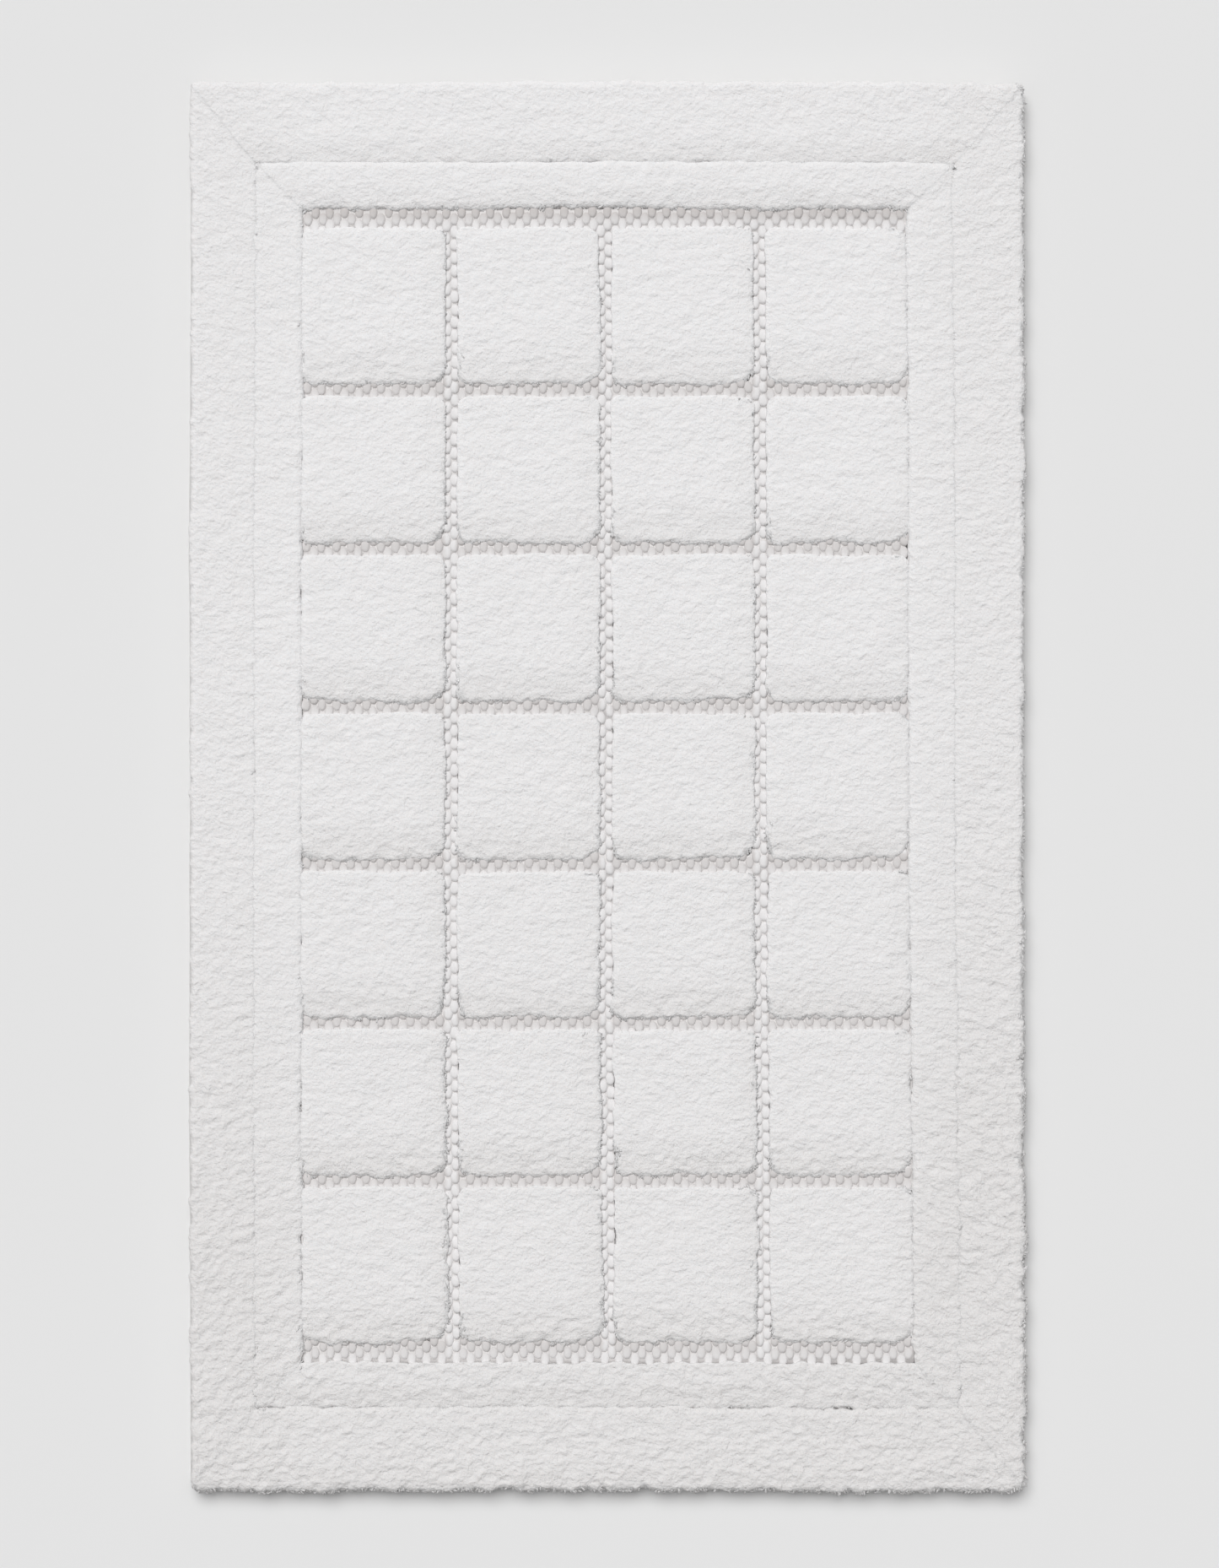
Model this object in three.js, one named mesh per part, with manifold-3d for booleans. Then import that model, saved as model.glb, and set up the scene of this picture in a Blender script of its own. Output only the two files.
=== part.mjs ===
// A cotton bath mat. One woven ground cloth carries everything. Its edges are turned under and
// stitched as hems, its sunk channels are a low loop pile, and tall cut pile stands on the rest:
// a grid of pile blocks inside two frame bands with a parting groove between them.
// Millimetres. +X runs across the mat, +Y towards its head end, +Z up. The origin is on the
// floor, under the middle of the mat.

import * as THREE from "three";
import { mergeVertices } from "three/addons/utils/BufferGeometryUtils.js";
import Module from "manifold-3d";

// ---- Overall sizes ----
const matWidth = 510;
const matLength = 860;
const pileHeight = 14.5; // cut pile, above the cloth
const loopHeight = 12; // low loop pile, above the cloth
const clothThickness = 3;

// ---- The pile pattern, from the rim inwards ----
const outerBandSide = 39.2; // width of the outer band along the long sides
const outerBandEnd = 48.2; // and along the two ends
const grooveWidth = 2.5; // parting between the two bands
const innerBandWidth = 26;
const sideChannel = 2.2; // sunk strip between the inner band and the blocks, long sides
const endChannel = 13.1; // and at the two ends
const columnChannel = 9; // sunk strips between columns of blocks
const rowChannel = 8.4; // sunk strips between rows of blocks
const endRowExtra = 6; // the first and last rows are this much longer than the others
const columns = 4;
const rows = 7;

// ---- Roundings ----
const matCorner = 6;
const bandCorner = 2.5;
const blockCorner = 8;
const pileEdgeHeight = 4; // how far down the pile's rounded shoulder reaches
const pileEdgeInset = 3; // how far in the shoulder comes

// ---- Hems, their stitching and the care label ----
const pileOverhang = 1; // the outer pile stands out past the cloth by this much
const hemWidth = 14; // turned-under strip
const hemThickness = 1.2;
const stitchInset = 10; // line of stitching, from the cloth's edge
const stitchWidth = 0.9;
const stitchThickness = 0.45;
const stitchCorner = 2; // the stitching turns each corner with this radius
const labelWidth = 34;
const labelLength = 24;
const labelThickness = 0.4;
const labelFromFoot = 120; // middle of the label, from the cloth's foot edge

// ---- Clearances ----
const gap = 0.3; // between pieces that touch on the real mat
const cutterReach = 60; // how far cutting wedges run past what they cut

// ---- Derived sizes ----
const clothWidth = matWidth - 2 * pileOverhang;
const clothLength = matLength - 2 * pileOverhang;
const foldRadius = clothThickness / 2; // outside of the turned edge
const pileBase = clothThickness + gap;
const grooveOuter = { x: matWidth / 2 - outerBandSide, y: matLength / 2 - outerBandEnd };
const grooveInner = { x: grooveOuter.x - grooveWidth, y: grooveOuter.y - grooveWidth };
const field = { x: grooveInner.x - innerBandWidth, y: grooveInner.y - innerBandWidth };
const blockWidth =
  (2 * (field.x - sideChannel) - (columns - 1) * columnChannel) / columns;
const blockLength =
  (2 * (field.y - endChannel) - (rows - 1) * rowChannel - 2 * endRowExtra) / rows;

const wasm = await Module();
wasm.setup();

// ---- Materials ----
const pileCotton = new THREE.MeshStandardMaterial({ color: 0xe9e7e7, roughness: 0.95, metalness: 0 });
const loopCotton = new THREE.MeshStandardMaterial({ color: 0xebe9ea, roughness: 0.9, metalness: 0 });
const wovenCotton = new THREE.MeshStandardMaterial({ color: 0xe4e1de, roughness: 0.92, metalness: 0 });
const threadCotton = new THREE.MeshStandardMaterial({ color: 0xf1efec, roughness: 0.7, metalness: 0 });
const labelTape = new THREE.MeshStandardMaterial({ color: 0xf4f3f0, roughness: 0.55, metalness: 0 });

const mat = new THREE.Group();

function addPiece(name, geometry, material, x = 0, y = 0, z = 0) {
  const piece = new THREE.Mesh(geometry, material);
  piece.name = name;
  piece.position.set(x, y, z);
  mat.add(piece);
}

// ---- Outlines ----

// Traces a centred rectangle with round corners on a Shape or a Path.
function traceRoundedRectangle(path, halfX, halfY, corner, centreX = 0, centreY = 0) {
  const x = halfX - corner;
  const y = halfY - corner;
  path.moveTo(centreX + halfX, centreY - y);
  path.absarc(centreX + x, centreY + y, corner, 0, Math.PI / 2);
  path.absarc(centreX - x, centreY + y, corner, Math.PI / 2, Math.PI);
  path.absarc(centreX - x, centreY - y, corner, Math.PI, 1.5 * Math.PI);
  path.absarc(centreX + x, centreY - y, corner, 1.5 * Math.PI, 2 * Math.PI);
  path.closePath();
  return path;
}

function roundedRectangle(halfX, halfY, corner) {
  return traceRoundedRectangle(new THREE.Shape(), halfX, halfY, corner);
}

// A frame: one rounded rectangle with another cut out of it.
function frameOutline(outer, outerCorner, inner, innerCorner) {
  const outline = roundedRectangle(outer.x, outer.y, outerCorner);
  outline.holes.push(traceRoundedRectangle(new THREE.Path(), inner.x, inner.y, innerCorner));
  return outline;
}

// ---- Solids ----

function slab(outline, thickness, curveSegments = 2) {
  return new THREE.ExtrudeGeometry(outline, { depth: thickness, bevelEnabled: false, curveSegments });
}

// Standing pile: an extruded outline whose shoulders are rounded, with its foot at z = 0.
function pileSolid(outline, height) {
  return new THREE.ExtrudeGeometry(outline, {
    depth: height - 2 * pileEdgeHeight,
    bevelThickness: pileEdgeHeight,
    bevelSize: pileEdgeInset,
    bevelOffset: -pileEdgeInset,
    bevelSegments: 2,
    curveSegments: 1,
  }).translate(0, 0, pileEdgeHeight);
}

function solidOf(geometry) {
  const bare = geometry.clone();
  bare.deleteAttribute("normal");
  bare.deleteAttribute("uv");
  const merged = mergeVertices(bare, 1e-4);
  return new wasm.Manifold(
    new wasm.Mesh({
      numProp: 3,
      vertProperties: new Float32Array(merged.attributes.position.array),
      triVerts: new Uint32Array(merged.index.array),
    }),
  );
}

function geometryOf(solid) {
  const { vertProperties, triVerts } = solid.getMesh();
  const geometry = new THREE.BufferGeometry();
  geometry.setAttribute("position", new THREE.BufferAttribute(vertProperties, 3));
  geometry.setIndex(new THREE.BufferAttribute(triVerts, 1));
  geometry.computeVertexNormals();
  return geometry;
}

// A cutting wedge that keeps one side of a frame, mitred from the frame's outer corner to its
// inner one. It is set back from the mitre, so that neighbours keep a gap.
function sideWedge(side, outer, inner) {
  const run = { x: outer.x - inner.x, y: outer.y - inner.y };
  const steps = cutterReach / Math.min(run.x, run.y);
  const far = { x: outer.x + steps * run.x, y: outer.y + steps * run.y };
  const inwards = Math.min(0.9, inner.x / run.x, inner.y / run.y);
  const near = { x: inner.x - inwards * run.x, y: inner.y - inwards * run.y };
  const corners = {
    head: [[far.x, far.y], [-far.x, far.y], [-near.x, near.y], [near.x, near.y]],
    foot: [[-far.x, -far.y], [far.x, -far.y], [near.x, -near.y], [-near.x, -near.y]],
    left: [[-far.x, far.y], [-far.x, -far.y], [-near.x, -near.y], [-near.x, near.y]],
    right: [[far.x, -far.y], [far.x, far.y], [near.x, near.y], [near.x, -near.y]],
  }[side];
  const setBack = { head: [0, gap], foot: [0, -gap], left: [-gap, 0], right: [gap, 0] }[side];
  const outline = new THREE.Shape(corners.map(([x, y]) => new THREE.Vector2(x, y)));
  return solidOf(slab(outline, 4 * cutterReach).translate(setBack[0], setBack[1], -2 * cutterReach));
}

const sides = ["head", "foot", "left", "right"];

function inset(size, amount) {
  return { x: size.x - amount, y: size.y - amount };
}

// ---- The two frame bands of cut pile ----

function addBand(prefix, outer, outerCorner, inner, innerCorner) {
  const band = solidOf(pileSolid(frameOutline(outer, outerCorner, inner, innerCorner), pileHeight));
  for (const side of sides) {
    const piece = band.intersect(sideWedge(side, outer, inner));
    addPiece(`${prefix}_${side}`, geometryOf(piece), pileCotton, 0, 0, pileBase);
  }
}

addBand("outer_band", { x: matWidth / 2, y: matLength / 2 }, matCorner, grooveOuter, bandCorner);
addBand("inner_band", grooveInner, bandCorner, field, bandCorner);

// ---- The grid of pile blocks, row 1 at the head end ----

const blocks = [];
let rowTop = field.y - endChannel;
for (let row = 1; row <= rows; row++) {
  const length = blockLength + (row === 1 || row === rows ? endRowExtra : 0);
  for (let column = 1; column <= columns; column++) {
    const x = (column - (columns + 1) / 2) * (blockWidth + columnChannel);
    blocks.push({ row, column, x, y: rowTop - length / 2, halfX: blockWidth / 2, halfY: length / 2 });
  }
  rowTop -= length + rowChannel;
}

for (const { row, column, x, y, halfX, halfY } of blocks) {
  const block = pileSolid(roundedRectangle(halfX, halfY, blockCorner), pileHeight);
  addPiece(`pile_block_r${row}_c${column}`, block, pileCotton, x, y, pileBase);
}

// ---- The low loop pile: a lattice that fills the field around the blocks ----

const lattice = roundedRectangle(field.x - gap, field.y - gap, bandCorner);
for (const { x, y, halfX, halfY } of blocks) {
  const window = new THREE.Path();
  lattice.holes.push(
    traceRoundedRectangle(window, halfX + gap, halfY + gap, blockCorner + gap, x, y),
  );
}
addPiece("loop_pile_lattice", slab(lattice, loopHeight, 1), loopCotton, 0, 0, pileBase);

// ---- The ground cloth: full thickness inside the hems, and thinner above them ----

const clothHalf = { x: clothWidth / 2, y: clothLength / 2 };
const overHems = inset(clothHalf, foldRadius + gap);
const insideHems = inset(clothHalf, hemWidth + gap);
const cornerInside = Math.max(1, matCorner - foldRadius);
const rebate = hemThickness + gap;

const labelHalf = { x: labelWidth / 2, y: labelLength / 2 };
const labelPlace = {
  x: -insideHems.x + gap + labelHalf.x,
  y: -clothHalf.y + labelFromFoot,
};
const labelRecess = slab(
  roundedRectangle(labelHalf.x + gap, labelHalf.y + gap, gap),
  labelThickness + 2 * gap,
).translate(labelPlace.x, labelPlace.y, -gap);

const cloth = solidOf(
  slab(roundedRectangle(overHems.x, overHems.y, cornerInside), clothThickness - rebate),
)
  .translate([0, 0, rebate])
  .add(solidOf(slab(roundedRectangle(insideHems.x, insideHems.y, 1), rebate + gap)))
  .subtract(solidOf(labelRecess));
addPiece("ground_cloth", geometryOf(cloth), wovenCotton);

// ---- The care label, blank, lying in the cloth beside the left hem ----

addPiece(
  "care_label",
  slab(roundedRectangle(labelHalf.x, labelHalf.y, gap), labelThickness),
  labelTape,
  labelPlace.x,
  labelPlace.y,
);

// ---- The hems: a rounded fold at the edge and the strip turned under the cloth ----

// Half of the hem's section, with x out from the fold's centre line and y up.
function hemSection() {
  const strip = hemWidth - foldRadius;
  const section = new THREE.Shape();
  section.moveTo(0, clothThickness);
  section.lineTo(0, hemThickness);
  section.lineTo(-strip, hemThickness);
  section.lineTo(-strip, 0);
  section.lineTo(0, 0);
  section.absarc(0, foldRadius, foldRadius, -Math.PI / 2, Math.PI / 2);
  return section;
}

// The section run along one side. Its fold faces +X before it is turned.
function hemRun(length, distance, turn) {
  const run = new THREE.ExtrudeGeometry(hemSection(), {
    depth: length,
    bevelEnabled: false,
    curveSegments: 3,
  });
  run.translate(0, 0, -length / 2).rotateX(Math.PI / 2);
  return solidOf(run.translate(distance - foldRadius, 0, 0).rotateZ(turn));
}

const hemRuns = {
  right: hemRun(clothLength, clothHalf.x, 0),
  head: hemRun(clothWidth, clothHalf.y, Math.PI / 2),
  left: hemRun(clothLength, clothHalf.x, Math.PI),
  foot: hemRun(clothWidth, clothHalf.y, -Math.PI / 2),
};

// A flat ring under the mat, centred on the line of stitching.
function stitchRing(width, thickness) {
  const line = inset(clothHalf, stitchInset);
  const reach = width / 2;
  const outline = frameOutline(
    inset(line, -reach),
    stitchCorner + reach,
    inset(line, reach),
    stitchCorner - reach,
  );
  return solidOf(slab(outline, thickness));
}

const clothPrism = solidOf(
  slab(roundedRectangle(clothHalf.x, clothHalf.y, matCorner), 2 * clothThickness),
);
const stitchChannel = stitchRing(stitchWidth + 2 * gap, stitchThickness + 2 * gap).translate([0, 0, -gap]);
const stitching = stitchRing(stitchWidth, stitchThickness);
const hemInner = inset(clothHalf, hemWidth);

for (const side of sides) {
  const wedge = sideWedge(side, clothHalf, hemInner);
  const hem = hemRuns[side].intersect(clothPrism).intersect(wedge).subtract(stitchChannel);
  addPiece(`hem_${side}`, geometryOf(hem), wovenCotton);
  addPiece(`hem_stitching_${side}`, geometryOf(stitching.intersect(wedge)), threadCotton);
}

export default mat;
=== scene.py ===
# %% [markdown]
# # A tufted cotton bath mat
#
# The mat is one woven cotton cloth with yarn punched through it. In most places the yarn stands
# tall and cut, as a soft pile: 28 blocks inside two bands. In the channels between the blocks
# it is left as low, tight loops. The edge of the cloth is turned under and stitched.
#
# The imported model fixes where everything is. Each soft piece here takes its place from the
# box of the CAD node that it stands for, so nothing is fitted by eye.

# %% Load the frame
import math

import bmesh
import bpy
import numpy as np
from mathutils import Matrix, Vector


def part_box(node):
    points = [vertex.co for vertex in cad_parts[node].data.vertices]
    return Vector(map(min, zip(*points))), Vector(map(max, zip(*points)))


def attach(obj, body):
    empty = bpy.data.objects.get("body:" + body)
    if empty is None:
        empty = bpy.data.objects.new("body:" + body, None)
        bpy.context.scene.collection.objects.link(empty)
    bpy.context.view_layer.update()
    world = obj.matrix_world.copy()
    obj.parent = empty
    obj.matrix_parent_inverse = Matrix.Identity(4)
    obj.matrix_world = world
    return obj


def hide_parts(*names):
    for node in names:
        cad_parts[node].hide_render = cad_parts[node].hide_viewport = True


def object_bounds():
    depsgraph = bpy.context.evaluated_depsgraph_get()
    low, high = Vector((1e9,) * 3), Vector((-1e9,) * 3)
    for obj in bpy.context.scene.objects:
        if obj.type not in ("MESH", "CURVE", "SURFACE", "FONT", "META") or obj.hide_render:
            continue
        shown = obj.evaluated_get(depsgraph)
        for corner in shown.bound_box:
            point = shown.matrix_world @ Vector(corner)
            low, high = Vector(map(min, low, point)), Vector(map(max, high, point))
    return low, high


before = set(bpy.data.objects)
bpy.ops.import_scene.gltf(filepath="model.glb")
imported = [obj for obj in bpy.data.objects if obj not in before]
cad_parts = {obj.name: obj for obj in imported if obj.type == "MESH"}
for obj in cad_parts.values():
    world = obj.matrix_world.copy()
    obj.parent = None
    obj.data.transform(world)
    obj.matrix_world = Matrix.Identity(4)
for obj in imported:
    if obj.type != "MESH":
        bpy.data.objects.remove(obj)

cad_low, cad_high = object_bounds()
MM = 0.001
mat_half = np.array([cad_high[0], cad_high[1]])
print("mat", [round(1000 * (h - l), 1) for l, h in zip(cad_low, cad_high)], "mm")

# %% [markdown]
# ## Camera and light
#
# The mat is looked at from straight above, with its head end at the top of the picture, through
# a long lens from far away, so its sides stay hidden. The light is a studio's: one large soft
# lamp high up and a little towards the head end and the left, a wide one straight overhead, and
# pale walls all round. A sun lamp with a wide angle stands for a large lamp far away, because it
# lights the whole mat alike.

# %% Camera
LENS = 85.0  # mm, on a 36 mm sensor
SENSOR = 36.0
MAT_SHARE = 0.8975  # how much of the picture's height the mat takes up
AIM = (2.1 * MM, 1.3 * MM)
FARTHEST = 100  # m, the farthest that is still drawn

view_height = (cad_high[1] - cad_low[1]) / MAT_SHARE
camera_data = bpy.data.cameras.new("camera")
camera_data.lens = LENS
camera_data.sensor_width = SENSOR
camera_data.clip_end = FARTHEST
camera = bpy.data.objects.new("camera", camera_data)
camera.location = (*AIM, cad_high[2] + view_height * LENS / SENSOR)
bpy.context.scene.collection.objects.link(camera)
bpy.context.scene.camera = camera
print("camera at height", round(camera.location.z, 3), "m")

# %% Lights
KEY_TOWARDS = (-0.174, 0.515, 1.0)
WALL_LIGHT = 0.195  # how bright the pale walls are


def sun(name, towards, angle, strength):
    """A far lamp. angle is how wide it looks, in degrees, and sets how soft its shadows are."""
    data = bpy.data.lights.new(name, "SUN")
    data.angle = math.radians(angle)
    data.energy = strength
    lamp = bpy.data.objects.new(name, data)
    x, y, z = towards
    lamp.rotation_euler = (math.atan2(math.hypot(x, y), z), 0, math.atan2(x, -y))
    bpy.context.scene.collection.objects.link(lamp)


sun("key_lamp", KEY_TOWARDS, angle=40, strength=2.3)
sun("overhead_lamp", (0, 0, 1), angle=107, strength=0.46)

world = bpy.data.worlds.new("studio")
world.use_nodes = True
walls = world.node_tree.nodes["Background"].inputs
walls["Color"].default_value = (1, 1, 1, 1)
walls["Strength"].default_value = WALL_LIGHT
bpy.context.scene.world = world

bpy.context.scene.view_settings.view_transform = "Standard"

# %% [markdown]
# ## Writing materials as sums
#
# A cotton finish is built from a few noise patterns that are added, scaled and fed to colour and
# bump. Nodes are wordy in Python, so `Sum` wraps one output socket and turns + and * into Math
# nodes, and `Finish.node` adds any other node. What changes over the surface goes only to the
# colour and the bump. Everything else is a plain number on the shader.

# %% Shader helpers
NOISE_ROUGHNESS = 0.55
COLOUR_OUTPUT = FACTOR_OUTPUT = 2  # of a Mix node set to colours, and of an Attribute node


class Sum:
    """An output socket that can be added and multiplied."""

    def __init__(self, finish, socket):
        self.finish = finish
        self.socket = socket

    def math(self, operation, first, second):
        return self.finish.node("ShaderNodeMath", {"operation": operation}, {0: first, 1: second})

    def __add__(self, other):
        return self.math("ADD", self, other)

    def __mul__(self, other):
        return self.math("MULTIPLY", self, other)

    __radd__ = __add__
    __rmul__ = __mul__


class Finish:
    """A material with one Principled shader."""

    def __init__(self, name, **constants):
        self.material = bpy.data.materials.new(name)
        self.material.use_nodes = True
        self.tree = self.material.node_tree
        self.shader = self.tree.nodes["Principled BSDF"]
        for socket, value in constants.items():
            self.shader.inputs[socket.replace("_", " ")].default_value = value
        self.place = self.node("ShaderNodeTexCoord", {}, {}, "Object")

    def node(self, kind, settings, inputs, output=0):
        """Adds a node: its settings first, then the values or links of its sockets."""
        node = self.tree.nodes.new(kind)
        for name, value in settings.items():
            setattr(node, name, value)
        for name, value in inputs.items():
            if isinstance(value, Sum):
                self.tree.links.new(value.socket, node.inputs[name])
            else:
                node.inputs[name].default_value = value
        return Sum(self, node.outputs[output])

    def noise(self, size, detail=2.0, stretch=(1, 1, 1)):
        """Noise whose lumps are about `size` metres across, longer along an axis by its stretch."""
        scale = [1 / s for s in stretch]
        point = self.node("ShaderNodeMapping", {}, {"Vector": self.place, "Scale": scale})
        return self.node(
            "ShaderNodeTexNoise",
            {},
            {"Vector": point, "Scale": 1 / size, "Detail": detail, "Roughness": NOISE_ROUGHNESS},
        )

    def attribute(self, name):
        """A number kept at the piece's own vertices."""
        return self.node("ShaderNodeAttribute", {"attribute_name": name}, {}, FACTOR_OUTPUT)

    def colours(self, factor, first, second):
        """Mixes two colours, or a mix and a colour, by a factor."""
        ends = [c if isinstance(c, Sum) else (*c, 1) for c in (first, second)]
        inputs = {0: factor, 6: ends[0], 7: ends[1]}
        return self.node("ShaderNodeMix", {"data_type": "RGBA"}, inputs, COLOUR_OUTPUT)

    def feed(self, socket, value):
        self.tree.links.new(value.socket, self.shader.inputs[socket])

    def bump(self, height, distance, strength):
        inputs = {"Height": height, "Distance": distance, "Strength": strength}
        self.feed("Normal", self.node("ShaderNodeBump", {}, inputs))


# %% [markdown]
# ## Cotton finishes
#
# Washed white cotton scatters light in every direction, so it is nearly all diffuse, with a
# little sheen from loose fibres. Up close, cut pile is a field of yarn ends about a millimetre
# across, each a shade lighter or darker than the next. Loops are smoother and show the twist of
# yarn. The ground cloth is a plain weave. Three numbers are kept at the vertices: `fray` says
# how frayed the pile is, `sunk` how deep a point lies in a crease or down a wall, and `shade`
# how far a loop is in under a frayed edge. The colours paint shade with them: frayed pile is
# painted darker, deep points and creases are painted in shade, and loops in under a frayed edge
# get a painted shadow.

# %% Cut pile
PILE_LIGHT = (0.862, 0.86, 0.868)
PILE_DARK = (0.848, 0.833, 0.835)
# The next tone is painted shade for frayed pile, darker among its loose yarns.
PILE_FRAYED_SHADE = (0.785, 0.77, 0.766)
# and the next is painted shade for points deep in creases and down the walls.
PILE_DEPTH_SHADE = (0.47, 0.445, 0.425)

cut_pile = Finish(
    "cut_pile_cotton",
    Roughness=0.95,
    Sheen_Weight=0.2,
    Sheen_Roughness=0.6,
    Subsurface_Weight=0.35,
    Subsurface_Scale=2.5 * MM,
    Subsurface_Radius=(1.0, 0.95, 0.92),
)
fray = cut_pile.attribute("fray")
sunk = cut_pile.attribute("sunk")
grain = cut_pile.noise(2.0 * MM, 2.5, stretch=(1.2, 1, 1))
fibres = cut_pile.noise(0.6 * MM, 2.0, stretch=(1, 3, 2))
clumps = cut_pile.noise(9 * MM, 2.0, stretch=(1.6, 1, 1))
tint = cut_pile.colours(clumps, PILE_DARK, PILE_LIGHT)
# Frayed pile, most of it towards the mat's foot and right, is painted darker: painted shade for the
# self-shadowing of its rough yarns.
frayed_shade = cut_pile.colours(fray * (0.3 * grain + 0.35 + 0.5 * fray), tint, PILE_FRAYED_SHADE)
# Points deep in creases and down the walls are painted in shade.
cut_pile.feed("Base Color", cut_pile.colours(1.2 * sunk, frayed_shade, PILE_DEPTH_SHADE))
fluff = (0.8 + 0.3 * fray) * (0.75 * grain + 0.25 * fibres)
cut_pile.bump(fluff, distance=1.7 * MM, strength=1.0)

# %% Loops
LOOP_LIGHT = (0.805, 0.795, 0.798)
LOOP_DARK = (0.735, 0.72, 0.723)
# Painted shade in the creases between loops and on the bed beneath them:
LOOP_CREASE_SHADE = (0.68, 0.655, 0.645)
# Painted shadow on loops in under a frayed edge of the pile:
LOOP_SHADED = (0.5, 0.465, 0.45)

loops = Finish("loop_pile_cotton", Roughness=0.9, Sheen_Weight=0.15, Sheen_Roughness=0.5)
ply = loops.noise(0.8 * MM, 1.0, stretch=(1, 3, 1))
strand = loops.colours(ply, LOOP_DARK, LOOP_LIGHT)
# painted shade in the creases,
strand = loops.colours(0.75 * loops.attribute("sunk"), strand, LOOP_CREASE_SHADE)
# and a painted shadow under the frayed edges.
strand = loops.colours(0.5 * loops.attribute("shade"), strand, LOOP_SHADED)
loops.feed("Base Color", strand)
loops.bump(ply, distance=0.3 * MM, strength=0.4)

# %% Woven cloth


def weave(finish, pitch):
    """Heights of a plain weave: bands along X and Y that pass over and under each other."""
    axes = finish.node("ShaderNodeSeparateXYZ", {}, {"Vector": finish.place})

    def ridges(axis):
        along = Sum(finish, axes.socket.node.outputs[axis]) * (2 * math.pi / pitch)
        return finish.node("ShaderNodeMath", {"operation": "SINE"}, {0: along})

    return ridges("X") * ridges("Y")


def cloth_finish(name, pitch, slub, shares, dark, light, depth):
    """A woven finish: slub is the size and the stretch of the uneven threads, and shares is how
    much of the colour they and the weave decide."""
    finish = Finish(name, Roughness=0.92, Sheen_Weight=0.1)
    threads = weave(finish, pitch)
    slubs = finish.noise(slub[0], 2.0, stretch=slub[1])
    finish.feed("Base Color", finish.colours(shares[0] * slubs + shares[1] * threads, dark, light))
    finish.bump(threads + slubs, distance=depth, strength=0.6)
    return finish


woven = cloth_finish(
    "plain_woven_cotton", pitch=2.2 * MM, slub=(3 * MM, (4, 1, 1)), shares=(0.6, 0.2),
    dark=(0.74, 0.72, 0.69), light=(0.9, 0.885, 0.865), depth=0.35 * MM,
)
hem_finish = cloth_finish(
    "hem_cotton", pitch=1.3 * MM, slub=(2.5 * MM, (1, 3, 1)), shares=(1.0, 0.15),
    dark=(0.85, 0.835, 0.822), light=(0.91, 0.9, 0.89), depth=0.25 * MM,
)

# %% Thread, label and floor
thread = Finish("sewing_thread", Roughness=0.6, Sheen_Weight=0.1)
twist = thread.noise(0.4 * MM, 1.0, stretch=(3, 1, 1))
thread.feed("Base Color", thread.colours(twist, (0.82, 0.81, 0.8), (0.95, 0.94, 0.93)))
thread.bump(twist, distance=0.1 * MM, strength=0.5)

tape = Finish("label_tape", Roughness=0.45, Sheen_Weight=0.2)
satin = tape.noise(0.5 * MM, 1.0, stretch=(6, 1, 1))
tape.feed("Base Color", tape.colours(satin, (0.88, 0.88, 0.87), (0.95, 0.95, 0.94)))
tape.bump(satin, distance=0.05 * MM, strength=0.4)

FLOOR_TONES = (0.775, 0.775, 0.775), (0.785, 0.785, 0.785)
ground = Finish("studio_floor", Roughness=0.8)
ground.feed("Base Color", ground.colours(ground.noise(0.4, 1.0), *FLOOR_TONES))
print("materials", [m.name for m in bpy.data.materials])

# %% [markdown]
# ## Helpers for the pieces
#
# `lumps` gives smooth random heights over the plan of the mat. The same call gives the same
# heights in every piece, so the surface runs on unbroken where two pieces meet. `settle` is how
# the mat lies: hand-laid cloth is never a perfect rectangle, so every finished piece is moved in
# plan by the same few millimetres.

# %% Random fields
LATTICE = 256  # numbers along each side of a random table, before it repeats
SLANT = 1.2 * MM  # how far the mat's middle leans to one side from head to foot
FLARE = 1.6 * MM  # and how far it widens towards the foot
DRIFT = (  # along which axis things stray, how far, over what distances in metres, seed
    (0, 0.9 * MM, (0.4, 0.17), 11),
    (1, 0.9 * MM, (0.13, 0.4), 12),
    (0, 0.4 * MM, (0.2, 0.05), 13),
)


def lumps(x, y, size, seed, turn=0.0):
    """Smooth random heights from -1 to 1. size is the lumps' spacing (along x, along y)."""
    table = np.random.default_rng(seed).uniform(-1, 1, (LATTICE, LATTICE))
    c, s = math.cos(turn), math.sin(turn)
    u = (c * x + s * y) / size[0]
    v = (c * y - s * x) / size[1]
    i, j = np.floor(u).astype(int), np.floor(v).astype(int)
    fu, fv = u - i, v - j
    fu, fv = fu * fu * (3 - 2 * fu), fv * fv * (3 - 2 * fv)
    i0, i1, j0, j1 = i % LATTICE, (i + 1) % LATTICE, j % LATTICE, (j + 1) % LATTICE
    near = table[i0, j0] * (1 - fu) + table[i1, j0] * fu
    far = table[i0, j1] * (1 - fu) + table[i1, j1] * fu
    return near * (1 - fv) + far * fv


def ease(value, start, end):
    """0 before start, 1 after end, and a smooth climb between."""
    t = np.clip((value - start) / (end - start), 0, 1)
    return t * t * (3 - 2 * t)


def settle(points):
    """Moves points, an array of x, y, z, to where they lie on the laid mat."""
    x, y = points[:, 0], points[:, 1]
    down = -y / mat_half[1]
    inside = 1 - ease(np.maximum(np.abs(x) / mat_half[0], np.abs(y) / mat_half[1]), 0.8, 1.0)
    moved = points.copy()
    moved[:, 0] += inside * (SLANT + FLARE * x / mat_half[0]) * down
    for axis, far, spacing, seed in DRIFT:
        moved[:, axis] += far * lumps(x, y, spacing, seed)
    return moved


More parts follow.
